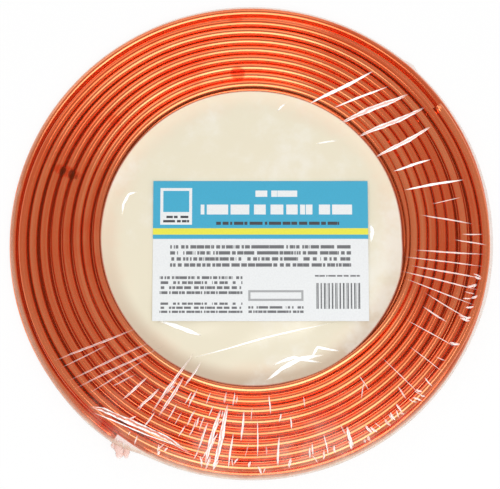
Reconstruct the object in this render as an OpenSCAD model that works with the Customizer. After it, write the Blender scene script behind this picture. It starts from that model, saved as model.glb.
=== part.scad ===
// Flat coil of soft copper tube in clear shrink film, with a paper label on the front film.
// Two layers of turns lie one on the other. Each layer is a flat spiral that ends in a cut tube end.
// +Z is up, and the origin is on the coil's axis where the film meets the floor.
// All sizes are in millimetres.

/* [Tube] */
// Outside diameter of the tube
tube_od = 6.35; // [4:0.05:10]
// Wall of the tube, seen at its open ends
tube_wall = 0.508; // [0.3:0.002:1.2]

/* [Coil] */
// Clear bore inside the innermost turn
bore_d = 192.4; // [190:0.1:300]
// Turns in the front layer
front_turns = 8.433; // [3:0.001:12]
// Space between neighbouring turns of the front layer, which lie loosely
front_gap = 0.9; // [0.15:0.01:2]
// Turns in the back layer
back_turns = 9.989; // [3:0.001:12]
// Space between neighbouring turns of the back layer, which lie close together
back_gap = 0.15; // [0.15:0.01:2]
// Space between the two layers
layer_gap = 0.1; // [0.05:0.05:0.6]
// Direction from the axis to the inner ends of both layers
start_angle = 240; // [0:1:359]

/* [Tube ends] */
// How far round the coil the tube is hollow from each cut end
hollow_angle = 5; // [1:1:20]

/* [Shrink film] */
// Wall of the film
film_t = 0.3; // [0.2:0.05:1]
// Space between the film and the turns
film_gap = 0.3; // [0.05:0.05:1]

/* [Label] */
// Width of the label, along X
label_w = 149; // [60:0.5:150]
// Height of the label as it is read, along Y
label_h = 98.5; // [40:0.5:100]
// Thickness of the label
label_t = 0.2; // [0.1:0.05:1]
// How far the label lies to the right of the axis
label_x = 6.2; // [-12:0.1:12]
// How far the label lies below the axis as it is read
label_y = 9.3; // [-12:0.1:12]

/* [Hidden] */

tube_r = tube_od / 2;
tube_id = tube_od - 2 * tube_wall;
front_pitch = tube_od + front_gap;
back_pitch = tube_od + back_gap;
first_r = bore_d / 2 + tube_r;

// Heights above the floor
back_z = film_t + film_gap + tube_r;
front_z = back_z + tube_od + layer_gap;
film_ceiling_z = front_z + tube_r + film_gap;
film_top_z = film_ceiling_z + film_t;

// The web between the turns reaches this deep into the first and last turn that it joins
web_bite = tube_r / 4;
web_mid_z = (back_z + front_z) / 2;

round_fn = 96;
revolve_fn = 180;

// A layer is a spiral of half turns. They swing in turn about a centre half a pitch from the axis
// and about the axis, so each half turn grows by half a pitch and runs on smoothly from the last.
function half_turn_r(half, pitch) = first_r + (half + 1) * pitch / 2;
function half_turn_x(half, pitch) = half % 2 == 0 ? -pitch / 2 : 0;
function half_turn_sweep(half, turns) = 180 * min(1, 2 * turns - half);
function last_half(turns) = ceil(2 * turns) - 1;

// Distance from the axis to the centre line of the tube, at the outer end of a layer
function end_r(turns, pitch) =
    let (half = last_half(turns), angle = half % 2 * 180 + half_turn_sweep(half, turns))
        norm([
            half_turn_x(half, pitch) + half_turn_r(half, pitch) * cos(angle),
            half_turn_r(half, pitch) * sin(angle)
        ]);

coil_r = max(end_r(front_turns, front_pitch), end_r(back_turns, back_pitch)) + tube_r;

// Revolves a section along part of a half turn
module along_half_turn(half, pitch, from_angle, sweep)
    translate([half_turn_x(half, pitch), 0, 0])
        rotate([0, 0, half % 2 * 180 + from_angle])
            rotate_extrude(angle = sweep, $fn = revolve_fn)
                children();

// Round bar along part of a half turn
module bar(half, pitch, from_angle, sweep, d)
    along_half_turn(half, pitch, from_angle, sweep)
        translate([half_turn_r(half, pitch), 0])
            circle(d = d, $fn = round_fn);

// All the turns of one layer, from the inner end to the outer end
module layer_turns(turns, pitch)
    for (half = [0 : last_half(turns)])
        bar(half, pitch, 0, half_turn_sweep(half, turns), tube_od);

// Hollow of the tube at both ends of a layer
module layer_hollows(turns, pitch) {
    last = last_half(turns);
    bar(0, pitch, 0, hollow_angle, tube_id);
    bar(last, pitch, half_turn_sweep(last, turns) - hollow_angle, hollow_angle, tube_id);
}

// Web that joins the turns of a layer and follows them round, between two heights.
// On either side it stops at the last half turn that is there in full.
module layer_web(turns, pitch, bottom_z, top_z) {
    full_halves = floor(2 * turns);
    for (side = [0, 1]) {
        last = full_halves - 1 - (full_halves - 1 - side) % 2;
        from_r = half_turn_r(side, pitch) + tube_r - web_bite;
        to_r = half_turn_r(last, pitch) - tube_r + web_bite;
        along_half_turn(side, pitch, 0, 180)
            translate([from_r, bottom_z])
                square([to_r - from_r, top_z - bottom_z]);
    }
}

// One solid with its bore: the turns show on both faces, at the rim and in the bore
module copper_coil()
    color("#d9733c")
        rotate([0, 0, start_angle])
            difference() {
                union() {
                    layer_web(back_turns, back_pitch, back_z, web_mid_z);
                    layer_web(front_turns, front_pitch, web_mid_z, front_z);
                    translate([0, 0, back_z]) layer_turns(back_turns, back_pitch);
                    translate([0, 0, front_z]) layer_turns(front_turns, front_pitch);
                }
                translate([0, 0, back_z]) layer_hollows(back_turns, back_pitch);
                translate([0, 0, front_z]) layer_hollows(front_turns, front_pitch);
            }

// Disc with a rounded rim
module rounded_disc(radius, bottom_z, top_z, rim_r)
    rotate_extrude($fn = revolve_fn) {
        translate([0, bottom_z])
            square([radius - rim_r, top_z - bottom_z]);
        translate([radius - rim_r, bottom_z + rim_r])
            square([rim_r, top_z - bottom_z - 2 * rim_r]);
        for (z = [bottom_z + rim_r, top_z - rim_r])
            translate([radius - rim_r, z])
                circle(r = rim_r, $fn = round_fn);
    }

// Closed bag round the coil: it spans the bore on both faces and rounds the rim
module shrink_film()
    color([0.95, 0.92, 0.86, 0.3])
        difference() {
            rounded_disc(coil_r + film_gap + film_t, 0, film_top_z, tube_r + film_gap + film_t);
            rounded_disc(coil_r + film_gap, film_t, film_ceiling_z, tube_r + film_gap);
        }

// Paper label stuck on the front film, over the bore
module label()
    color("#4fa9cc")
        translate([label_x - label_w / 2, -label_y - label_h / 2, film_top_z])
            cube([label_w, label_h, label_t]);

copper_coil();
shrink_film();
label();
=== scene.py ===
"""Looks of a flat coil of soft copper tube in clear shrink film, with a paper label on the film."""

import logging
import math
import random
from collections.abc import Callable, Mapping, Sequence
from dataclasses import dataclass, field
from enum import Enum

import bpy
import numpy as np
from bpy.types import Material, Node, NodeSocket, Object
from mathutils import Euler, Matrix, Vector


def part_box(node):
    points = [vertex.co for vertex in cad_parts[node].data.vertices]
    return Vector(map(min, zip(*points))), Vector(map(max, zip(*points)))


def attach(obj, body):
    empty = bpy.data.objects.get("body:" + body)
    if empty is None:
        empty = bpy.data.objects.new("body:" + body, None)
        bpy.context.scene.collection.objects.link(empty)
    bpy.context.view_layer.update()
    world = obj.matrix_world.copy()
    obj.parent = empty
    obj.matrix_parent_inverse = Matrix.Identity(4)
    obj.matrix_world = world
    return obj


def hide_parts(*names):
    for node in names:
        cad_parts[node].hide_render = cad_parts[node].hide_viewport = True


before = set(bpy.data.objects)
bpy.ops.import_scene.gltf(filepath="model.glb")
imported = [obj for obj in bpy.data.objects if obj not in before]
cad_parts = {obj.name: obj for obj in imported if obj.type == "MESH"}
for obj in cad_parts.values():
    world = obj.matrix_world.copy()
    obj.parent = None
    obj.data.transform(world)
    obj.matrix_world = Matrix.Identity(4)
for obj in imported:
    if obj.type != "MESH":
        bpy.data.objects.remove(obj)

log = logging.getLogger("coil")

Triple = tuple[float, float, float]
Row = tuple[float, ...]

MM = 0.001
BODY = "root"
SEED = 11
MERGE = 1e-7


class Piece(Enum):
    """The pieces that this script adds."""

    TUBE = ("copper_tube_coil", "copper_coil", "copper")
    BAG = ("film_bag", "shrink_film", "clear_film")
    PLEATS = ("film_pleats", "", "clear_film")
    LABEL = ("paper_label", "label", "label_paper")

    def __init__(self, title: str, node: str, finish: str) -> None:
        """Keep the object's name, its CAD node or an empty text, and the name of its finish."""
        self.title = title
        self.node = node
        self.finish = finish


def smooth(x: np.ndarray | float) -> np.ndarray:
    """Ease from 0 to 1 as x goes from 0 to 1."""
    t = np.clip(x, 0.0, 1.0)
    return t * t * (3.0 - 2.0 * t)


def deselect() -> None:
    """Leave edit mode and deselect every object."""
    if bpy.context.object and bpy.context.object.mode != "OBJECT":
        bpy.ops.object.mode_set(mode="OBJECT")
    bpy.ops.object.select_all(action="DESELECT")


def pick(piece: Object) -> None:
    """Make one object the only selected and the active one."""
    deselect()
    piece.select_set(True)
    bpy.context.view_layer.objects.active = piece


def points_of(piece: Object) -> np.ndarray:
    """Read the corners of a piece as rows of x, y, z."""
    flat = np.empty(len(piece.data.vertices) * 3)
    piece.data.vertices.foreach_get("co", flat)
    return flat.reshape(-1, 3)


def move_points(piece: Object, points: np.ndarray) -> None:
    """Write the corners of a piece."""
    piece.data.vertices.foreach_set("co", points.astype(np.float32).ravel())
    piece.data.update()


def keep_values(piece: Object, name: str, values: np.ndarray) -> None:
    """Store a number or a vector for each corner of a piece, for its material to read."""
    kind = "FLOAT_VECTOR" if values.ndim == 2 else "FLOAT"
    layer = piece.data.attributes.new(name, kind, "POINT")
    layer.data.foreach_set("vector" if values.ndim == 2 else "value", values.astype(np.float32).ravel())


def seat(piece: Object) -> None:
    """Put an object's place into its mesh, so that the object sits at the origin."""
    pick(piece)
    bpy.ops.object.transform_apply(location=True, rotation=True, scale=True)


def face_outwards(piece: Object) -> None:
    """Merge doubled corners, turn all faces outwards and shade them smoothly."""
    pick(piece)
    bpy.ops.object.mode_set(mode="EDIT")
    bpy.ops.mesh.select_all(action="SELECT")
    bpy.ops.mesh.remove_doubles(threshold=MERGE)
    bpy.ops.mesh.normals_make_consistent(inside=False)
    bpy.ops.object.mode_set(mode="OBJECT")
    bpy.ops.object.shade_smooth()


def declare(piece: Object, role: Piece, material: Material) -> None:
    """Name a piece, dress it, attach it to its body and hide the CAD node that it stands in for, if any.

    Args:
        piece: The finished object.
        role: What the piece is.
        material: Its finish.
    """
    piece.name = role.title
    piece.data.name = role.title
    piece.data.materials.clear()
    piece.data.materials.append(material)
    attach(piece, BODY)
    if role.node:
        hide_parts(role.node)
    log.info("%s: %d corners, %d faces", role.title, len(piece.data.vertices), len(piece.data.polygons))


class Value:
    """An output socket of a material, which takes part in sums."""

    def __init__(self, recipe: "Recipe", socket: NodeSocket) -> None:
        """Wrap a socket of a recipe."""
        self.recipe = recipe
        self.socket = socket

    def _sum(self, operation: str, first: object, second: object = 0.0) -> "Value":
        """Add a Math node and return what comes out of it."""
        node = self.recipe.node("ShaderNodeMath", {"operation": operation}, {0: first, 1: second})
        return Value(self.recipe, node.outputs[0])

    def __add__(self, other: object) -> "Value":
        """Sum."""
        return self._sum("ADD", self, other)

    __radd__ = __add__

    def __sub__(self, other: object) -> "Value":
        """Difference."""
        return self._sum("SUBTRACT", self, other)

    def __rsub__(self, other: object) -> "Value":
        """Difference, the other way round."""
        return self._sum("SUBTRACT", other, self)

    def __mul__(self, other: object) -> "Value":
        """Product."""
        return self._sum("MULTIPLY", self, other)

    __rmul__ = __mul__

    def __truediv__(self, other: object) -> "Value":
        """Quotient."""
        return self._sum("DIVIDE", self, other)

    def __rtruediv__(self, other: object) -> "Value":
        """Quotient, the other way round."""
        return self._sum("DIVIDE", other, self)

    def __gt__(self, other: object) -> "Value":
        """1 where this is the greater, else 0."""
        return self._sum("GREATER_THAN", self, other)

    def __lt__(self, other: object) -> "Value":
        """1 where this is the smaller, else 0."""
        return self._sum("LESS_THAN", self, other)

    def __abs__(self) -> "Value":
        """Size without sign."""
        return self._sum("ABSOLUTE", self)

    def fraction(self) -> "Value":
        """Part after the point."""
        return self._sum("FRACT", self)

    def whole(self) -> "Value":
        """Part before the point."""
        return self._sum("FLOOR", self)

    def greater_of(self, other: object) -> "Value":
        """The greater of two."""
        return self._sum("MAXIMUM", self, other)

    def ramp(self, low: float, high: float) -> "Value":
        """Ease from 0 at low to 1 at high.

        Args:
            low: Where the result is 0.
            high: Where the result is 1.

        Returns:
            The eased value, clamped between 0 and 1.
        """
        inputs = {"Value": self, "From Min": low, "From Max": high}
        node = self.recipe.node("ShaderNodeMapRange", {"interpolation_type": "SMOOTHSTEP"}, inputs)
        return Value(self.recipe, node.outputs["Result"])


class Recipe:
    """The node tree of one material."""

    def __init__(self, title: str) -> None:
        """Start a material with only its output.

        Args:
            title: Name of the material.
        """
        self.material = bpy.data.materials.new(title)
        self.material.use_nodes = True
        self.tree = self.material.node_tree
        self.tree.nodes.clear()
        self.output = self.tree.nodes.new("ShaderNodeOutputMaterial")

    def node(
        self,
        kind: str,
        settings: Mapping[str, object] | None = None,
        inputs: Mapping[str | int, object] | None = None,
    ) -> Node:
        """Add a node, set it up and fill its sockets.

        Args:
            kind: Type of the node.
            settings: Its own settings.
            inputs: Values or links, by the socket's name or number.

        Returns:
            The new node.
        """
        node = self.tree.nodes.new(kind)
        for key, setting in (settings or {}).items():
            setattr(node, key, setting)
        for key, given in (inputs or {}).items():
            self._fill(node.inputs[key], given)
        return node

    def _fill(self, socket: NodeSocket, given: object) -> None:
        """Link a socket or set its value."""
        if isinstance(given, Value):
            self.tree.links.new(given.socket, socket)
        elif isinstance(given, NodeSocket):
            self.tree.links.new(given, socket)
        elif isinstance(given, tuple) and len(given) == 3 and socket.type == "RGBA":
            socket.default_value = (*given, 1.0)
        else:
            socket.default_value = given

    def place(self) -> NodeSocket:
        """Object coordinates, in metres."""
        return self.node("ShaderNodeTexCoord").outputs["Object"]

    def kept(self, name: str, output: str = "Fac") -> Value:
        """Read what keep_values stored."""
        return Value(self, self.node("ShaderNodeAttribute", {"attribute_name": name}).outputs[output])

    def parts(self, vector: object) -> tuple[Value, Value, Value]:
        """Split a vector into its three numbers."""
        node = self.node("ShaderNodeSeparateXYZ", None, {0: vector})
        return tuple(Value(self, node.outputs[i]) for i in range(3))

    def noise(self, vector: object, scale: float, detail: float = 3.0, rough: float = 0.55) -> Value:
        """Soft noise between 0 and 1, by features per unit, octaves and the weight of the finer ones."""
        inputs = {"Vector": vector, "Scale": scale, "Detail": detail, "Roughness": rough}
        return Value(self, self.node("ShaderNodeTexNoise", None, inputs).outputs["Fac"])

    def stretched(self, vector: object, scale: Triple) -> NodeSocket:
        """Scale coordinates along each axis."""
        return self.node("ShaderNodeMapping", None, {"Vector": vector, "Scale": scale}).outputs[0]

    def blend(self, share: object, first: object, second: object) -> Value:
        """Mix two colours: the first where the share is 0, and the second where it is 1."""
        settings = {"data_type": "RGBA", "blend_type": "MIX", "clamp_factor": True}
        return Value(self, self.node("ShaderNodeMix", settings, {0: share, 6: first, 7: second}).outputs[2])

    def layered(self, base: object, *coats: tuple[object, Triple]) -> Value:
        """Lay colours over one another, each with its share."""
        for share, colour in coats:
            base = self.blend(share, base, colour)
        return base

    def finish(self, shader: NodeSocket) -> Material:
        """Connect the last shader and hand the material over."""
        self.tree.links.new(shader, self.output.inputs["Surface"])
        return self.material


@dataclass(frozen=True)
class Mark:
    """A tarnish mark on the copper, at an angle and a distance from the axis."""

    angle: float
    radius: float
    along: float
    across: float
    depth: float


@dataclass(frozen=True)
class CopperFinish:
    """Bright soft copper with drawing streaks and a few tarnish marks."""

    bright: Triple = (0.95, 0.325, 0.145)
    dark: Triple = (0.86, 0.170, 0.062)
    stain: Triple = (0.035, 0.012, 0.012)
    flush: Triple = (0.85, 0.055, 0.010)
    marks: tuple[Mark, ...] = (
        Mark(160.0, 139.8, 3.6, 2.6, 0.8),
        Mark(160.1, 134.0, 3.8, 2.4, 0.8),
        Mark(160.5, 129.2, 2.2, 1.6, 0.55),
    )
    flushes: tuple[Mark, ...] = (
        Mark(160.0, 137.3, 4.5, 11.0, 0.8),
        Mark(94.7, 118.3, 5.5, 6.0, 0.75),
        Mark(94.0, 158.8, 6.0, 3.5, 0.6),
        Mark(138.9, 127.6, 4.5, 5.0, 0.5),
        Mark(233.7, 164.7, 13.0, 6.0, 0.7),
    )

    def build(self) -> Material:
        """Write the material.

        Returns:
            The finished material.
        """
        recipe = Recipe("soft_copper")
        along = recipe.kept("tube_co", "Vector")
        place = recipe.place()
        fine = recipe.noise(recipe.stretched(along, (3.0, 420.0, 420.0)), 1.0, 2.0)
        broad = recipe.noise(recipe.stretched(along, (1.3, 110.0, 110.0)), 1.0, 2.0)
        patch = recipe.noise(place, 22.0, 3.0)
        tone = (fine * 0.45 + broad * 0.55).ramp(0.34, 0.66)
        stain = self._spots(recipe, place, self.marks, 0.5)
        colour = recipe.layered(
            self.dark,
            (tone, self.bright),
            (patch.ramp(0.52, 0.74) * 0.35, self.flush),
            (self._spots(recipe, place, self.flushes, 0.35), self.flush),
            (stain, self.stain),
        )
        bump = recipe.node("ShaderNodeBump", None, {"Strength": 0.05, "Distance": 0.0002, "Height": fine})
        inputs = {
            "Base Color": colour,
            "Metallic": 1.0,
            "Roughness": fine * 0.05 + stain * 0.30 + 0.11,
            "Normal": bump.outputs[0],
        }
        return recipe.finish(recipe.node("ShaderNodeBsdfPrincipled", None, inputs).outputs[0])

    def _spots(self, recipe: Recipe, place: object, marks: Sequence[Mark], ragged: float) -> Value:
        """Mask of a set of marks, with ragged edges.

        Args:
            recipe: Material that the mask is written in.
            place: Object coordinates.
            marks: The marks.
            ragged: How far noise moves their edges.

        Returns:
            1 in the marks and 0 outside them.
        """
        x, y, _ = recipe.parts(place)
        edge = recipe.noise(place, 330.0, 3.0) * ragged
        mask: Value | None = None
        for mark in marks:
            turn = math.radians(mark.angle)
            dx = x - mark.radius * MM * math.cos(turn)
            dy = y - mark.radius * MM * math.sin(turn)
            out = (dx * math.cos(turn) + dy * math.sin(turn)) / (mark.across * MM)
            side = (dy * math.cos(turn) - dx * math.sin(turn)) / (mark.along * MM)
            spot = (1.0 - (out * out + side * side) - edge).ramp(-0.35, 0.45) * mark.depth
            mask = spot if mask is None else mask.greater_of(spot)
        return mask


@dataclass(frozen=True)
class FilmFinish:
    """Shrink film: clear over the turns with painted copper bounce light, milky over the bore and partly
    painted shade there, with painted bounce light from the copper near the turns and painted light and
    shade along the bore's edge, pale at the rim partly as a painted grazing sheen, and white in its folds
    as painted glints.
    """

    milky_bore_and_shade: Triple = (0.84, 0.77, 0.60)
    painted_bounce_peach: Triple = (0.88, 0.66, 0.49)
    shade: Triple = (0.58, 0.45, 0.33)
    glow: Triple = (1.0, 0.84, 0.64)
    painted_copper_bounce: Triple = (0.95, 0.13, 0.03)
    fringe: Triple = (0.97, 0.80, 0.63)
    pink: Triple = (0.93, 0.55, 0.45)
    white: Triple = (0.99, 0.985, 0.965)
    unlit: Triple = (0.0, 0.0, 0.0)
    # Opacity of the film over the turns, which carries the painted bounce light.
    clear_alpha: float = 0.10
    rim_alpha: float = 0.85
    veil_alpha: float = 0.13
    peach_reach: float = 20.0

    def build_bag(self) -> Material:
        """Write the material of the bag.

        Returns:
            The finished material.
        """
        recipe = Recipe("film")
        place = recipe.place()
        past_bore = recipe.kept("past_bore")
        rim = recipe.kept("rim")
        haze = recipe.noise(place, 38.0, 4.0, 0.6)
        grain = recipe.noise(place, 620.0, 2.0)
        _, y, _ = recipe.parts(place)
        # The milky film over the bore is partly painted shade of the bore.
        milky = 1.0 - (past_bore + y * 6.0).ramp(0.0, 1.8)
        # Painted sheen: pale noisy patches on the film.
        sheen = recipe.noise(place, 16.0, 5.0, 0.68).ramp(0.50, 0.72)
        # Painted bounce light from the copper: the bore film warms towards the turns.
        near_tube = past_bore.ramp(-self.peach_reach, 0.0)
        # Painted light and shade along the bore's edge: lighter towards +Y, darker towards -Y.
        lit = (y / 0.1).ramp(-1.1, 1.1)
        edge = past_bore.ramp(-13.0, -1.0)
        low = (0.0 - y).ramp(0.075, 0.155)
        veil = (1.0 - milky) * low * haze.ramp(0.35, 0.70)
        colour = recipe.layered(
            self.milky_bore_and_shade,
            (near_tube * haze.ramp(0.30, 0.80), self.painted_bounce_peach),
            (edge * (1.0 - lit) * 0.95, self.shade),
            (edge * lit * 0.65, self.glow),
            (sheen * 0.35, self.white),
            # Painted bounce light from the copper over the turns, which lifts the shade in the gaps.
            (1.0 - milky, self.painted_copper_bounce),
            (veil * 0.9, self.fringe),
            # Pale fringe at the rim: partly the film seen edge-on, partly a painted grazing sheen.
            (rim.ramp(0.0, 0.5), self.fringe),
        )
        alpha = milky * (haze * 0.10 + 0.86) + rim * haze * (low * 0.5 + 0.5) * self.rim_alpha
        alpha = alpha + veil * self.veil_alpha + self.clear_alpha
        height = haze * 0.8 + grain * 0.04
        bump = recipe.node("ShaderNodeBump", None, {"Strength": 0.25, "Distance": 0.0006, "Height": height})
        inputs = {
            "Base Color": colour,
            "Roughness": 0.16,
            "IOR": 1.45,
            "Alpha": alpha,
            "Normal": bump.outputs[0],
        }
        return recipe.finish(recipe.node("ShaderNodeBsdfPrincipled", None, inputs).outputs[0])

    def build_pleats(self) -> Material:
        """Write the material of the folds: a painted white glint with a painted glow, clearer and pinkish
        along the middle of hollow ones.

        Returns:
            The finished material.
        """
        recipe = Recipe("film_folds_painted_glints")
        place = recipe.place()
        # Strength of the fold's painted white glint, fading towards its ends.
        bright = recipe.kept("crease")
        across = recipe.kept("across")
        hollow = recipe.kept("hollow")
        ragged = recipe.noise(place, 420.0, 3.0)
        wander = recipe.noise(place, 170.0, 2.0)
        middle = (1.0 - abs(across + (wander - 0.5) * 2.0).ramp(0.15, 0.75)) * hollow
        rosy = recipe.kept("rosy")
        colour = recipe.blend(middle, self.white, self.pink)
        inputs = {
            "Base Color": recipe.blend(rosy * 0.85, colour, self.pink),
            "Roughness": 0.2,
            # Painted glow: the folds give off a little light of their own colour, and the rosy ones none.
            "Emission Color": recipe.blend(rosy, colour, self.unlit),
            "Emission Strength": 0.22,
            "Alpha": (bright * (ragged * 0.5 + 0.80)).ramp(0.1, 0.9) * (1.0 - middle * 0.85),
        }
        return recipe.finish(recipe.node("ShaderNodeBsdfPrincipled", None, inputs).outputs[0])


@dataclass(frozen=True)
class Block:
    """A printed rectangle on the label, by its edges in millimetres from the label's lower left corner."""

    left: float
    right: float
    low: float
    high: float


@dataclass(frozen=True)
class PaperFinish:
    """Printed paper: a blue band, two stripes, and plain bars where the print has its lines."""

    height: float
    left: float
    low: float
    paper: Triple = (0.84, 0.855, 0.86)
    blue: Triple = (0.042, 0.402, 0.610)
    yellow: Triple = (0.83, 0.80, 0.06)
    ink: Triple = (0.045, 0.045, 0.055)

    def build(self) -> Material:
        """Write the material.

        Returns:
            The finished material.
        """
        recipe = Recipe("printed_paper")
        x, y, _ = recipe.parts(recipe.place())
        u = (x / MM) - self.left
        v = (y / MM) - self.low
        fibre = recipe.noise(recipe.place(), 900.0, 3.0)
        top = self.height
        printed = [
            (v > top - 33.5, self.blue),
            (self._block(u, v, Block(-1, 200, top - 38.0, top - 33.5)), self.yellow),
            (self._block(u, v, Block(-1, 200, top - 41.0, top - 38.0)), self.blue),
            (self._words(recipe, u, v, Block(71, 100, top - 13, top - 5), 1, 5.5), self.paper),
            (self._words(recipe, u, v, Block(33, 138, top - 26.5, top - 14), 1, 5.5), self.paper),
            (self._words(recipe, u, v, Block(43, 129, top - 32, top - 28), 1, 2.6), self.ink),
            (self._block(u, v, Block(5, 27, top - 31, top - 5)), self.paper),
            (self._block(u, v, Block(7, 25, top - 22, top - 7)), self.blue),
            (self._words(recipe, u, v, Block(7, 25, top - 30, top - 24), 2, 3.0), self.ink),
        ]
        lines = (
            (Block(12, 137, top - 61.5, top - 44.5), 4, 2.2),
            (Block(5, 62, top - 80.5, top - 66.5), 4, 1.7),
            (Block(5, 62, top - 93.5, top - 85), 3, 1.7),
            (Block(66, 104, top - 93.5, top - 87.5), 2, 1.7),
            (Block(112, 143, top - 68, top - 66), 1, 1.5),
        )
        for block, rows, word in lines:
            printed.append((self._words(recipe, u, v, block, rows, word) * 0.86, self.ink))
        printed += [
            (self._block(u, v, Block(66, 104, top - 84.5, top - 77)) * 0.55, self.ink),
            (self._block(u, v, Block(67.5, 102.5, top - 83, top - 78.5)), self.paper),
            (self._bars(u, v, Block(112, 143, top - 90, top - 72)), self.ink),
            (fibre.ramp(0.35, 0.75) * 0.06, self.ink),
        ]
        bump = recipe.node("ShaderNodeBump", None, {"Strength": 0.08, "Distance": 0.0002, "Height": fibre})
        inputs = {
            "Base Color": recipe.layered(self.paper, *printed),
            "Roughness": 0.42 + fibre * 0.1,
            "Normal": bump.outputs[0],
        }
        return recipe.finish(recipe.node("ShaderNodeBsdfPrincipled", None, inputs).outputs[0])

    def _block(self, u: Value, v: Value, block: Block) -> Value:
        """Mask of a rectangle."""
        return (u > block.left) * (u < block.right) * (v > block.low) * (v < block.high)

    def _words(self, recipe: Recipe, u: Value, v: Value, block: Block, rows: int, word: float) -> Value:
        """Mask of rows of plain bars with uneven breaks.

        Args:
            recipe: Material that the mask is written in.
            u: Distance from the label's left edge.
            v: Distance from its lower edge.
            block: Place of the rows.
            rows: How many rows there are.
            word: About how wide a bar is, in millimetres.

        Returns:
            1 on the bars and 0 elsewhere.
        """
        step = (block.high - block.low) / rows
        row = (v - block.low) / step
        across = row.fraction()
        bar = (across > 0.22) * (across < 0.78)
        inputs = {0: u / word, 1: row.whole() * 7.3, 2: block.left}
        place = recipe.node("ShaderNodeCombineXYZ", None, inputs)
        gap = recipe.noise(place.outputs[0], 1.0, 1.0) > 0.44
        return self._block(u, v, block) * bar * gap

    def _bars(self, u: Value, v: Value, block: Block) -> Value:
        """Mask of evenly mixed upright bars."""
        wide = ((u / 2.6).fraction() > 0.42) * ((u / 1.1).fraction() > 0.3)
        return self._block(u, v, block) * wide


@dataclass
class Layer:
    """One layer of turns: where its tube's centre line runs."""

    start: float
    end: float
    sides: int
    steps_per_turn: int
    radius: Callable[[np.ndarray], np.ndarray]
    height: Callable[[np.ndarray], np.ndarray]


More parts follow.
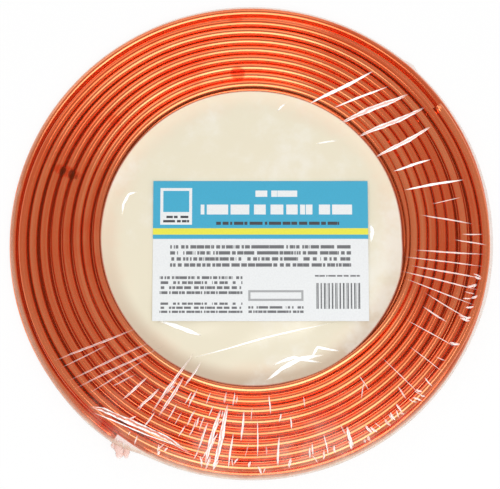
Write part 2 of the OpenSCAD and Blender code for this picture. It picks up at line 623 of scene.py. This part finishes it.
@dataclass
class Winding:
    """The copper tube, wound in two flat layers that each end in a cut end.

    Angles are in degrees, counted on from turn to turn, and lengths are in millimetres.
    """

    tube_od: float = 6.35
    tube_id: float = 5.33
    back_z: float = 3.775
    front_z: float = 10.225
    inner_mean: float = 108.1
    inner_swing: float = 2.7
    inner_swing_to: float = 73.0
    loose_from: float = 60.0
    step_at: float = 300.0
    step_span: float = 60.0
    slack: Row = (0.0, 1.5, 1.8, 3.0, 4.8, 6.6, 8.3, 9.2, 10.6)
    lag: Row = (0.0, 0.7, 2.1, 3.1, 2.2, 1.4, 0.9, 0.7, 0.3, 0.0)
    lag_step: float = 20.0
    lag_share: Row = (0.0, 1.0, 1.0, 1.05, 1.05, 1.1, 0.6, 0.0)
    tuck: float = 6.2
    tuck_lead: float = 18.0
    tuck_span: float = 130.0
    tuck_pitch: float = 0.35
    tuck_out: float = 0.6
    ripple: float = 0.12
    front_start: float = 318.0
    front_end: float = 36.0 + 9 * 360.0
    back_start: float = -375.0
    back_end: float = 236.0 + 8 * 360.0
    back_rise: float = 4.7
    first_lift: float = 2.2
    last_sweep: float = 345.0
    rim_turns: Row = (0.0, 49.0, 79.0, 109.0, 154.0, 199.0, 244.0, 289.0, 319.0, 345.0)
    rim_radii: Row = (162.4, 162.2, 162.4, 163.0, 165.2, 165.2, 165.6, 165.5, 166.0, 166.6)
    peek_turns: Row = (0.0, 45.0, 90.0, 135.0, 180.0, 215.0, 285.0, 302.0, 345.0, 360.0)
    peeks: Row = (2.6, 3.2, 2.8, 2.0, 0.6, 0.6, 0.8, 0.0, 0.0, 2.6)
    back_lag: float = 1.5
    back_gap: float = 0.15
    roomy_from: float = 236.0
    roomy_ease: float = 26.0
    crowded_from: float = 300.0
    crowded_ease: float = 60.0
    crowd_power: float = 4.0
    join_span: float = 15.0
    rise_lead: float = 50.0
    rise_span: float = 44.0
    spun_r: float = 0.135
    hollow_angle: float = 7.0
    hollow_steps: int = 5

    def inner_curve(self, angle: np.ndarray) -> np.ndarray:
        """Radius of the innermost turn, which is pushed up against the label's side."""
        return self.inner_mean + self.inner_swing * np.cos(np.radians(angle - self.inner_swing_to))

    def looseness(self, angle: np.ndarray) -> np.ndarray:
        """How far the turns spread: 0 where they touch, 1 where they lie loosest."""
        return 0.5 - 0.5 * np.cos(np.radians(angle - self.loose_from))

    def level(self, angle: np.ndarray) -> np.ndarray:
        """Number of the turn at an angle of the front layer, counted from 0 at the bore.

        Each turn keeps its place for most of the way round and then steps outwards by one turn.
        """
        turns = (angle - self.step_at) / 360.0
        return np.floor(turns) - 1.0 + smooth((turns - np.floor(turns)) * 360.0 / self.step_span)

    def spaced(self, level: np.ndarray | float, angle: np.ndarray) -> np.ndarray:
        """Distance from the axis of the turn with a given number. Half numbers lie between two turns."""
        spread = np.interp(level, np.arange(len(self.slack)), self.slack)
        return self.inner_curve(angle) + level * self.tube_od + self.looseness(angle) * spread

    def front_radius(self, angle: np.ndarray) -> np.ndarray:
        """Distance of the front layer's centre line from the axis.

        Args:
            angle: Angles along the layer.

        Returns:
            The distances in millimetres.
        """
        level = self.level(angle)
        inside = np.where(level < 0.0, level * self.tuck_pitch, level)
        past = np.mod(angle - self.step_at, 360.0)
        late = np.interp(past, np.arange(len(self.lag)) * self.lag_step, self.lag)
        late = late * np.interp(level, np.arange(len(self.lag_share)), self.lag_share)
        return self.spaced(inside, angle) + self.tuck_share(angle) * self.tuck_out - late

    def tuck_share(self, angle: np.ndarray) -> np.ndarray:
        """How far the first turn of the front layer still lies below its neighbour."""
        return 1.0 - smooth((angle - self.front_start + self.tuck_lead) / self.tuck_span)

    def front_height(self, angle: np.ndarray) -> np.ndarray:
        """Height of the front layer's centre line: its inner end rises from below."""
        wave = np.sin(np.radians(angle * 2.3)) * np.sin(np.radians(angle * 0.37))
        return self.front_z - self.tuck * self.tuck_share(angle) + self.ripple * (wave - 1.0)

    def rim_radius(self, angle: np.ndarray) -> np.ndarray:
        """Distance of the back layer's last turn from the axis."""
        past = np.mod(angle - self.back_end - self.join_span, 360.0)
        return np.interp(past, self.rim_turns, self.rim_radii)

    def peek(self, angle: np.ndarray) -> np.ndarray:
        """How far the back layer's first turn shows inside the front layer's."""
        return np.interp(np.mod(angle, 360.0), self.peek_turns, self.peeks)

    def back_radius(self, angle: np.ndarray) -> np.ndarray:
        """Distance of the back layer's centre line from the axis.

        Its turns lie under the gaps of the front layer. They close up where the last turn leaves
        them too little room.

        Args:
            angle: Angles along the layer.

        Returns:
            The distances in millimetres.
        """
        level = np.maximum(self.level(angle) + self.back_lag, -0.5)
        first = np.clip(0.5 - level, 0.0, 1.0) * (self.tube_od / 2 - self.peek(angle))
        rim = self.rim_radius(angle)
        azimuth = np.mod(angle, 360.0)
        crowded = 1.0 - smooth((azimuth - self.roomy_from) / self.roomy_ease)
        crowded = crowded + smooth((azimuth - self.crowded_from) / self.crowded_ease)
        excess = (self.spaced(7.5, angle) - rim + self.tube_od - self.back_gap) * crowded
        share = np.clip((level + 0.5) / 8.0, 0.0, 1.0) ** self.crowd_power
        inner = self.spaced(level, angle) + first - excess * share
        last = self.back_end - self.last_sweep
        outer = np.where(angle < last, self.rim_radii[0], rim)
        return inner + (outer - inner) * smooth((angle - last + self.join_span) / self.join_span)

    def back_height(self, angle: np.ndarray) -> np.ndarray:
        """Height of the back layer's centre line: both its ends ride up."""
        first = np.clip(-1.0 - self.level(angle), 0.0, 1.0) * self.peek(angle) / max(self.peeks)
        last = smooth((angle - self.back_end + self.rise_lead) / self.rise_span)
        return self.back_z + self.first_lift * first + self.back_rise * last

    def inner_edge(self, angle: np.ndarray) -> np.ndarray:
        """Distance from the axis to where the copper begins."""
        return self.inner_curve(angle) - self.tube_od / 2 - self.peek(angle)

    def build(self) -> Object:
        """Make both layers and join them.

        Returns:
            The winding as one object.
        """
        layers = (
            Layer(self.front_start, self.front_end, 22, 200, self.front_radius, self.front_height),
            Layer(self.back_start, self.back_end, 16, 160, self.back_radius, self.back_height),
        )
        made = [self.build_layer(layer) for layer in layers]
        pick(made[0])
        for other in made[1:]:
            other.select_set(True)
        bpy.ops.object.join()
        return bpy.context.object

    def build_layer(self, layer: Layer) -> Object:
        """Spin one layer's tube and push its turns to their places.

        Args:
            layer: The layer.

        Returns:
            The layer's tube, hollow at both ends.
        """
        sweep = layer.end - layer.start
        steps = round(sweep / 360.0 * layer.steps_per_turn)
        deselect()
        turn = math.radians(layer.start)
        bpy.ops.mesh.primitive_circle_add(
            vertices=layer.sides,
            radius=self.tube_od / 2 * MM,
            fill_type="NOTHING",
            location=(self.spun_r * math.cos(turn), self.spun_r * math.sin(turn), 0.0),
            rotation=(math.pi / 2, 0.0, turn),
        )
        tube = bpy.context.object
        seat(tube)
        bpy.ops.object.mode_set(mode="EDIT")
        bpy.ops.mesh.select_all(action="SELECT")
        bpy.ops.mesh.spin(steps=steps, angle=math.radians(sweep), center=(0, 0, 0), axis=(0, 0, 1))
        stations = list(np.linspace(layer.start, layer.end, steps + 1))
        for at_end in (True, False):
            stations += self.open_end(tube, layer, at_end, steps)
        bpy.ops.object.mode_set(mode="OBJECT")
        self.wind(tube, layer, np.array(stations))
        face_outwards(tube)
        return tube

    def open_end(self, tube: Object, layer: Layer, at_end: bool, steps: int) -> list[float]:
        """Turn a ring of the tube inwards and run it back, so that the cut end is hollow.

        Args:
            tube: The tube, in edit mode.
            layer: Its layer.
            at_end: Whether it is the outer end.
            steps: Steps of the spin.

        Returns:
            The angles of the rings that this adds.
        """
        first = steps * layer.sides if at_end else 0
        station = layer.end if at_end else layer.start
        turn = math.radians(station)
        bpy.ops.object.mode_set(mode="OBJECT")
        mesh = tube.data
        chosen = np.zeros(len(mesh.vertices), dtype=bool)
        chosen[first:first + layer.sides] = True
        ends = np.empty(len(mesh.edges) * 2, dtype=np.int64)
        mesh.edges.foreach_get("vertices", ends)
        mesh.polygons.foreach_set("select", np.zeros(len(mesh.polygons), dtype=bool))
        mesh.vertices.foreach_set("select", chosen)
        mesh.edges.foreach_set("select", chosen[ends.reshape(-1, 2)].all(axis=1))
        bpy.ops.object.mode_set(mode="EDIT")
        bpy.ops.mesh.extrude_edges_move()
        bpy.ops.transform.resize(
            value=(self.tube_id / self.tube_od,) * 3,
            center_override=(self.spun_r * math.cos(turn), self.spun_r * math.sin(turn), 0.0),
        )
        sweep = -self.hollow_angle if at_end else self.hollow_angle
        steps = self.hollow_steps
        bpy.ops.mesh.spin(steps=steps, angle=math.radians(sweep), center=(0, 0, 0), axis=(0, 0, 1))
        bpy.ops.mesh.edge_face_add()
        return [station] + [station + sweep * (i + 1) / steps for i in range(steps)]

    def wind(self, tube: Object, layer: Layer, stations: np.ndarray) -> None:
        """Push each ring of a spun tube from the spinning circle to its place in the layer.

        Args:
            tube: The spun tube.
            layer: Its layer.
            stations: Angle of each ring.
        """
        points = points_of(tube)
        angle = np.repeat(stations, layer.sides)
        out = np.hypot(points[:, 0], points[:, 1]) - self.spun_r
        up = points[:, 2].copy()
        radius = layer.radius(angle) * MM + out
        turn = np.radians(angle)
        z = layer.height(angle) * MM + up
        move_points(tube, np.stack([radius * np.cos(turn), radius * np.sin(turn), z], axis=1))
        along = turn * layer.radius(angle) * MM
        keep_values(tube, "tube_co", np.stack([along, out, up], axis=1))


def film_top(x: np.ndarray, y: np.ndarray) -> np.ndarray:
    """Height of the front film in metres: taut over the turns, and sagging a little over the bore."""
    radius = np.hypot(x, y) / MM
    turn = np.arctan2(y, x)
    taut = 13.80
    bore_sag = 0.05
    edge_sag = 0.9
    bore = 1.0 - smooth((radius - 78.0) / 26.0)
    edge = smooth((radius - 60.0) / 20.0) * smooth((112.0 - radius) / 14.0)
    wave = np.sin(turn * 5.0 + 0.6) * 0.35 + np.sin(turn * 13.0 + radius * 0.11) * 0.2
    return (taut - bore_sag * bore - edge * (edge_sag + wave)) * MM


@dataclass
class FilmBag:
    """The shrink film, shut round the coil."""

    winding: Winding
    rim: float = 3.7
    floor_z: float = 0.10
    flat_share: float = 0.43
    outline_mean: float = 167.9
    ear: float = 2.6
    ear_from: float = 195.0
    ear_growth: float = 38.0
    ear_at: float = 236.0
    ear_fall: float = 9.0
    slack: float = 1.0
    slack_to: float = 325.0
    slack_ease: float = 25.0
    lump: float = 1.7
    lump_at: float = 47.8
    lump_width: float = 1.5
    notch: float = 1.2
    notch_at: float = 168.0
    notch_width: float = 0.8

    def outline(self, turn: np.ndarray) -> np.ndarray:
        """Distance of the rim from the axis in millimetres, for angles in degrees."""
        angle = np.mod(turn, 360.0)
        past_ear = smooth((angle - self.ear_at) / self.ear_fall)
        flare = self.ear * smooth((angle - self.ear_from) / self.ear_growth) * (1.0 - past_ear)
        slack = self.slack * past_ear * (1.0 - smooth((angle - self.slack_to) / self.slack_ease))
        lump = self.lump * np.exp(-((angle - self.lump_at) / self.lump_width) ** 2)
        notch = self.notch * np.exp(-((angle - self.notch_at) / self.notch_width) ** 2)
        return self.outline_mean + flare - slack + (lump - notch)

    def profile(self, share: np.ndarray, edge: np.ndarray) -> tuple[np.ndarray, np.ndarray]:
        """Walk from the middle of the front film round the rim to the middle of the back film.

        Args:
            share: How far along the walk, from 0 to 1.
            edge: Distance of the rim from the axis.

        Returns:
            Distances from the axis, and heights as a share of the bag's height.
        """
        flat = self.flat_share
        over = np.clip(share / flat, 0.0, 1.0)
        under = np.clip((1.0 - share) / flat, 0.0, 1.0)
        round_share = np.clip((share - flat) / (1.0 - 2.0 * flat), 0.0, 1.0)
        turn = round_share * math.pi
        radius = (edge - self.rim) * np.minimum(over, under) + self.rim * np.sin(turn)
        return radius, 0.5 + 0.5 * np.cos(turn)

    def build(self) -> Object:
        """Shape the bag from a ball.

        Returns:
            The bag.
        """
        deselect()
        bpy.ops.mesh.primitive_uv_sphere_add(segments=288, ring_count=150, radius=1.0)
        bag = bpy.context.object
        ball = points_of(bag)
        share = np.arccos(np.clip(ball[:, 2], -1.0, 1.0)) / math.pi
        turn = np.degrees(np.arctan2(ball[:, 1], ball[:, 0]))
        edge = self.outline(turn)
        radius, level = self.profile(share, edge)
        x = radius * MM * np.cos(np.radians(turn))
        y = radius * MM * np.sin(np.radians(turn))
        top = film_top(x, y)
        bottom = self.floor_z * MM
        z = bottom + (top - bottom) * level
        move_points(bag, np.stack([x, y, z], axis=1))
        keep_values(bag, "past_bore", radius - self.winding.inner_edge(turn))
        keep_values(bag, "rim", smooth((radius - edge + self.rim + 0.5) / self.rim))
        face_outwards(bag)
        return bag


@dataclass(frozen=True)
class Pleat:
    """A fold in the film along a few points, each an angle and a distance from the axis; bright sets the
    strength of its painted white glint.
    """

    path: tuple[tuple[float, float], ...]
    width: float
    bright: float = 1.0
    hollow: float = 0.0
    drop: float = 0.0


def straight(bright: float, hollow: float, *folds: tuple[float, float, float, float, float]) -> list[Pleat]:
    """Straight folds that look alike, each by the angle and distance of both its ends, and its width."""
    return [Pleat(((a, b), (c, d)), width, bright, hollow) for a, b, c, d, width in folds]


@dataclass
class Pleats:
    """All the folds of the front film: raised ridges that carry painted white glints.

    The listed folds are given as the camera sees them, so on_film moves them to where they lie.
    """

    chance: random.Random = field(default_factory=lambda: random.Random(SEED))
    foreshortening: float = 1.36e-4
    shift: tuple[float, float] = (-1.1, -4.9)
    width_scale: float = 1.9
    at_rim: int = 58
    low_down: int = 46
    hand_laid: tuple[Pleat, ...] = (
        *straight(0.62, 0.5, (5.2, 156.4, 10.4, 118.0, 0.5), (12.8, 150.8, 12.8, 127.7, 0.28)),
        *straight(1.0, 0.0, (17.2, 155.7, 20.0, 112.4, 0.9), (25.6, 139.6, 27.6, 111.0, 0.9)),
        *straight(1.0, 0.5, (33.4, 151.5, 35.2, 105.4, 1.5)),
        *straight(1.0, 0.6, (38.4, 155.7, 45.6, 105.4, 1.7), (44.0, 153.6, 54.4, 104.7, 1.9)),
        *straight(0.8, 0.0, (49.2, 148.0, 59.6, 111.0, 0.8)),
        *straight(1.0, 0.0, (54.8, 150.0, 68.0, 106.0, 1.3)),
        *straight(
            0.62, 0.5,
            (340.5, 163.0, 344.5, 124.0, 0.39), (344.5, 164.0, 347.5, 108.0, 0.39),
            (348.5, 164.5, 350.0, 104.0, 0.5), (351.5, 164.5, 352.5, 110.0, 0.55),
            (354.5, 165.0, 355.5, 104.0, 0.44), (357.5, 164.5, 358.0, 112.0, 0.55),
            (359.8, 165.0, 361.5, 140.0, 0.44), (2.5, 162.0, 2.8, 146.0, 0.39),
        ),
        *straight(
            0.42, 0.7,
            (211.0, 162.5, 217.6, 94.0, 0.72), (213.5, 160.0, 216.0, 118.0, 0.4),
            (217.0, 163.0, 226.5, 90.0, 0.64), (219.5, 163.0, 231.5, 88.0, 0.72),
            (223.0, 157.0, 229.0, 104.0, 0.48), (226.0, 140.0, 229.5, 120.0, 0.56),
        ),
        *straight(
            0.72, 0.8,
            (231.0, 142.0, 233.0, 116.0, 0.81), (236.0, 141.0, 238.5, 118.0, 0.9),
            (240.0, 139.0, 243.0, 84.0, 0.9), (242.5, 138.0, 244.0, 102.0, 1.08),
            (245.5, 112.0, 248.0, 88.0, 0.72), (251.0, 136.0, 252.0, 122.0, 0.63),
        ),
        *straight(
            0.95, 0.6,
            (256.0, 150.0, 257.0, 128.0, 0.72), (258.5, 160.0, 260.0, 116.0, 1.44),
            (261.0, 162.0, 262.5, 112.0, 1.71),
        ),
        *straight(
            0.8, 0.4,
            (264.5, 160.0, 265.0, 132.0, 0.68), (267.5, 140.0, 268.0, 116.0, 0.75),
            (272.0, 152.0, 272.5, 122.0, 0.45), (277.0, 158.0, 278.5, 136.0, 0.68),
            (282.5, 134.0, 283.0, 124.0, 0.52), (290.0, 160.0, 291.0, 142.0, 0.45),
            (296.5, 160.0, 297.5, 144.0, 1.2),
        ),
        *straight(
            0.62, 0.5,
            (305.0, 134.0, 309.5, 124.0, 0.33), (318.0, 162.0, 319.0, 118.0, 0.28),
            (326.0, 163.0, 327.0, 130.0, 0.28), (333.0, 163.0, 334.0, 118.0, 0.33),
            (338.0, 148.0, 340.0, 126.0, 0.55),
        ),
        Pleat(
            ((225.5, 160.0), (229.0, 154.0), (236.0, 150.0), (247.0, 148.5), (256.0, 155.0)), 1.9, 0.75, 1.0
        ),
        Pleat(((227.0, 161.5), (232.0, 156.5), (242.0, 152.0), (254.0, 151.0)), 0.45, 0.7),
        Pleat(((242.0, 91.0), (258.0, 75.0), (280.0, 66.5), (300.0, 69.0), (318.0, 81.0)), 0.7, 0.8),
        Pleat(((276.0, 97.0), (284.0, 90.0), (294.0, 88.0), (304.0, 93.0)), 1.6),
        Pleat(((280.0, 86.5), (291.0, 85.0), (301.0, 97.0)), 1.2, 0.9),
        Pleat(((297.0, 92.0), (303.0, 86.0), (310.0, 98.0)), 1.0),
        Pleat(((220.0, 83.0), (227.0, 78.0), (236.0, 73.5), (243.0, 72.0)), 1.6, 0.9),
        Pleat(((154.0, 86.0), (157.0, 91.0), (162.0, 92.5), (167.0, 91.0)), 1.0, 0.9),
        Pleat(((1.0, 83.5), (6.0, 85.5), (10.0, 84.0)), 1.4, 0.9),
        Pleat(((50.0, 96.0), (58.0, 84.0)), 0.7, 0.6),
        Pleat(((76.0, 103.0), (79.0, 96.0)), 0.7, 0.7),
        Pleat(((236.6, 163.0), (238.8, 177.5)), 3.4, 0.58, 0.3, 4.5),
        Pleat(((235.2, 164.5), (236.8, 173.0)), 2.0, 0.58, 0.3, 5.0),
        Pleat(((238.2, 164.0), (240.6, 173.5)), 2.4, 0.64, 0.3, 5.5),
    )

    def all_pleats(self) -> list[Pleat]:
        """List the given folds and the small ones strewn between them.

        Returns:
            The folds.
        """
        pleats = list(self.hand_laid)
        for _ in range(self.at_rim):
            turn = self.chance.uniform(236.0, 352.0)
            outer = self.chance.uniform(157.5, 162.5)
            lean = self.chance.uniform(-1.2, 1.2)
            path = ((turn, outer), (turn + lean, outer - self.chance.uniform(3.0, 9.0)))
            pleats.append(Pleat(path, self.chance.uniform(0.3, 0.9), self.chance.uniform(0.45, 0.95), 0.6))
        for _ in range(self.low_down):
            turn = self.chance.gauss(262.0, 24.0)
            outer = self.chance.uniform(112.0, 160.0)
            lean = self.chance.uniform(0.0, 1.4)
            path = ((turn, outer), (turn + lean, outer - self.chance.uniform(4.0, 15.0)))
            pleats.append(Pleat(path, self.chance.uniform(0.25, 0.6), self.chance.uniform(0.4, 0.85), 0.6))
        return pleats

    def build(self) -> Object:
        """Model one fold and lay copies of it along all the paths.

        Returns:
            The folds as one object.
        """
        deselect()
        turned = (0.0, math.pi / 2, 0.0)
        bpy.ops.mesh.primitive_uv_sphere_add(segments=10, ring_count=40, radius=1.0, rotation=turned)
        blank = bpy.context.object
        seat(blank)
        made = [self.lay(blank, pleat) for pleat in self.all_pleats()]
        bpy.data.objects.remove(blank)
        deselect()
        for fold in made:
            fold.select_set(True)
        bpy.context.view_layer.objects.active = made[0]
        bpy.ops.object.join()
        pleats = bpy.context.object
        bpy.ops.object.shade_smooth()
        return pleats

    def lay(self, blank: Object, pleat: Pleat) -> Object:
        """Copy the blank and bend the copy along a fold's path on the film.

        Args:
            blank: A ball with its poles on the X axis.
            pleat: The fold.

        Returns:
            The copy.
        """
        fold = blank.copy()
        fold.data = blank.data.copy()
        bpy.context.collection.objects.link(fold)
        ball = points_of(fold)
        along = np.arccos(np.clip(-ball[:, 0], -1.0, 1.0)) / math.pi
        course = self.course(pleat, along)
        step = self.course(pleat, along + 0.01) - self.course(pleat, along - 0.01)
        step /= np.linalg.norm(step, axis=1, keepdims=True)
        aside = np.stack([-step[:, 1], step[:, 0]], axis=1)
        phase = self.chance.uniform(0.0, 6.3)
        width = pleat.width * self.width_scale
        taper = np.clip(np.sin(along * math.pi), 0.0, 1.0) ** 0.75
        jag = 1.0 + 0.10 * np.sin(along * 23.0 + phase) + 0.06 * np.sin(along * 57.0 + phase * 2.0)
        spread = np.hypot(ball[:, 1], ball[:, 2]) + 1e-9
        side = ball[:, 1] / spread
        up = ball[:, 2] / spread
        wander = 0.12 * np.sin(along * 7.0 + phase) * width
        offset = side * taper * jag * width * 0.5 + wander
        place = (course + aside * offset[:, None]) * MM
        lift = np.where(up > 0, up * 0.32, up * 0.10) * taper
        z = film_top(place[:, 0], place[:, 1]) + (0.03 + lift - pleat.drop) * MM
        move_points(fold, np.column_stack([place, z]))
        # The strength of the fold's painted white glint, fading towards its ends.
        keep_values(fold, "crease", pleat.bright * np.clip(taper * 1.2, 0.0, 1.0))
        keep_values(fold, "across", side)
        for name, level in (("hollow", pleat.hollow), ("rosy", float(pleat.drop > 0.0))):
            keep_values(fold, name, np.full(len(ball), level))
        return fold

    def course(self, pleat: Pleat, along: np.ndarray) -> np.ndarray:
        """Points of a fold's path on the film, in millimetres.

        Args:
            pleat: The fold.
            along: How far along the path, from 0 to 1.

        Returns:
            Rows of x and y.
        """
        knots = np.linspace(0.0, 1.0, len(pleat.path))
        share = np.clip(along, 0.0, 1.0)
        turn = np.radians([point[0] for point in pleat.path])
        radius = np.array([point[1] for point in pleat.path])
        x = np.interp(share, knots, radius * np.cos(turn))
        return self.on_film(x, np.interp(share, knots, radius * np.sin(turn)))

    def on_film(self, x: np.ndarray, y: np.ndarray) -> np.ndarray:
        """Move points from where the camera sees them to where they lie on the film."""
        depth = 1.0 + y * self.foreshortening
        return np.stack([x * depth + self.shift[0], y * depth + self.shift[1]], axis=1)


@dataclass
class Label:
    """The printed paper label, which lies on the front film."""

    waviness: float = 0.12

    def build(self) -> Object:
        """Shape the label from a flat grid, and give it its thickness.

        Returns:
            The label.
        """
        low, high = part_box("label")
        deselect()
        bpy.ops.mesh.primitive_grid_add(x_subdivisions=60, y_subdivisions=40, size=1.0)
        label = bpy.context.object
        label.scale = (high[0] - low[0], high[1] - low[1], 1.0)
        label.location = ((low[0] + high[0]) / 2, (low[1] + high[1]) / 2, low[2])
        seat(label)
        points = points_of(label)
        wave = np.sin(points[:, 0] * 31.0 + 0.5) * np.cos(points[:, 1] * 43.0)
        points[:, 2] += (wave + 1.0) * self.waviness * MM
        move_points(label, points)
        modifier = label.modifiers.new("thickness", "SOLIDIFY")
        modifier.thickness = high[2] - low[2]
        modifier.offset = 1.0
        pick(label)
        bpy.ops.object.modifier_apply(modifier=modifier.name)
        bpy.ops.object.shade_smooth_by_angle(angle=math.radians(40.0))
        return label

    def finish(self) -> Material:
        """Write the label's print, placed by the label's box."""
        low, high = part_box("label")
        return PaperFinish(height=(high[1] - low[1]) / MM, left=low[0] / MM, low=low[1] / MM).build()


@dataclass(frozen=True)
class Lamp:
    """A soft lamp: where it hangs, its width and height in metres, and its power in watts."""

    title: str
    place: Triple
    size: tuple[float, float]
    watts: float


@dataclass
class Studio:
    """Floor, light and camera."""

    elevation: float = 79.0
    distance: float = 1.40
    lens: float = 145.0
    aim: Triple = (-0.0011, -0.0036, 0.007)
    floor_white: float = 0.86
    sky_top: float = 0.64
    sky_ahead: float = 0.74
    ahead_from: float = 0.22
    ahead_to: float = 0.80
    lamps: tuple[Lamp, ...] = (
        Lamp("key", (0.13, -0.52, 1.50), (1.15, 1.10), 13.5),
        Lamp("fill", (-0.38, 1.24, 0.75), (1.6, 0.8), 3.5),
    )

    def build(self) -> None:
        """Set up the whole studio."""
        self.lay_floor()
        self.light_world()
        for lamp in self.lamps:
            self.hang(lamp)
        self.set_camera()

    def lay_floor(self) -> None:
        """Lay the pale floor that the coil rests on."""
        deselect()
        bpy.ops.mesh.primitive_plane_add(size=8.0, location=(0.0, 0.0, 0.0))
        floor = bpy.context.object
        seat(floor)
        floor.name = "floor"
        recipe = Recipe("pale_floor")
        path = recipe.node("ShaderNodeLightPath").outputs
        seen = Value(recipe, path["Is Camera Ray"]).greater_of(Value(recipe, path["Is Glossy Ray"]))
        seen = seen.greater_of(Value(recipe, path["Is Transmission Ray"]))
        diffuse = recipe.node("ShaderNodeBsdfDiffuse", None, {"Color": (0.97, 0.97, 0.97)})
        white = recipe.node("ShaderNodeEmission", None, {"Color": (1.0, 1.0, 1.0), "Strength": 1.0})
        inputs = {0: seen * self.floor_white, 1: diffuse.outputs[0], 2: white.outputs[0]}
        mixed = recipe.node("ShaderNodeMixShader", None, inputs)
        floor.data.materials.append(recipe.finish(mixed.outputs[0]))

    def light_world(self) -> None:
        """Light the scene with a pale sky that is brighter towards +Y."""
        world = bpy.data.worlds.new("studio")
        bpy.context.scene.world = world
        world.use_nodes = True
        tree = world.node_tree
        tree.nodes.clear()
        output = tree.nodes.new("ShaderNodeOutputWorld")
        sky = tree.nodes.new("ShaderNodeBackground")
        place = tree.nodes.new("ShaderNodeTexCoord")
        parts = tree.nodes.new("ShaderNodeSeparateXYZ")
        tree.links.new(place.outputs["Generated"], parts.inputs[0])
        ease = tree.nodes.new("ShaderNodeMapRange")
        ease.interpolation_type = "SMOOTHSTEP"
        tree.links.new(parts.outputs["Y"], ease.inputs["Value"])
        limits = {
            "From Min": self.ahead_from,
            "From Max": self.ahead_to,
            "To Min": self.sky_top,
            "To Max": self.sky_ahead,
        }
        for name, limit in limits.items():
            ease.inputs[name].default_value = limit
        tree.links.new(ease.outputs["Result"], sky.inputs["Strength"])
        tree.links.new(sky.outputs[0], output.inputs["Surface"])

    def hang(self, lamp: Lamp) -> None:
        """Hang a lamp that points at the coil.

        Args:
            lamp: The lamp.
        """
        light = bpy.data.lights.new(lamp.title, "AREA")
        light.shape = "RECTANGLE"
        light.size, light.size_y = lamp.size
        light.energy = lamp.watts
        hung = bpy.data.objects.new(lamp.title, light)
        bpy.context.collection.objects.link(hung)
        hung.location = lamp.place
        hung.rotation_euler = self.looking(lamp.place)

    def looking(self, start: Sequence[float]) -> Euler:
        """Rotation that points a lamp or a camera at the coil."""
        return (Vector(self.aim) - Vector(start)).to_track_quat("-Z", "Y").to_euler()

    def set_camera(self) -> None:
        """Stand the camera where the photograph was taken from."""
        rise = math.radians(self.elevation)
        place = (
            self.aim[0],
            self.aim[1] - self.distance * math.cos(rise),
            self.aim[2] + self.distance * math.sin(rise),
        )
        data = bpy.data.cameras.new("camera")
        data.lens = self.lens
        data.sensor_width = 36.0
        camera = bpy.data.objects.new("camera", data)
        bpy.context.collection.objects.link(camera)
        camera.location = place
        camera.rotation_euler = self.looking(place)
        bpy.context.scene.camera = camera


def main() -> None:
    """Dress the coil, and set up the studio."""
    logging.basicConfig(level=logging.INFO, format="%(name)s: %(message)s")
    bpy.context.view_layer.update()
    Studio().build()
    bpy.context.scene.view_settings.view_transform = "Standard"
    winding = Winding()
    declare(winding.build(), Piece.TUBE, CopperFinish().build())
    film = FilmFinish()
    declare(FilmBag(winding).build(), Piece.BAG, film.build_bag())
    declare(Pleats().build(), Piece.PLEATS, film.build_pleats())
    label = Label()
    declare(label.build(), Piece.LABEL, label.finish())


if __name__ == "__main__":
    main()
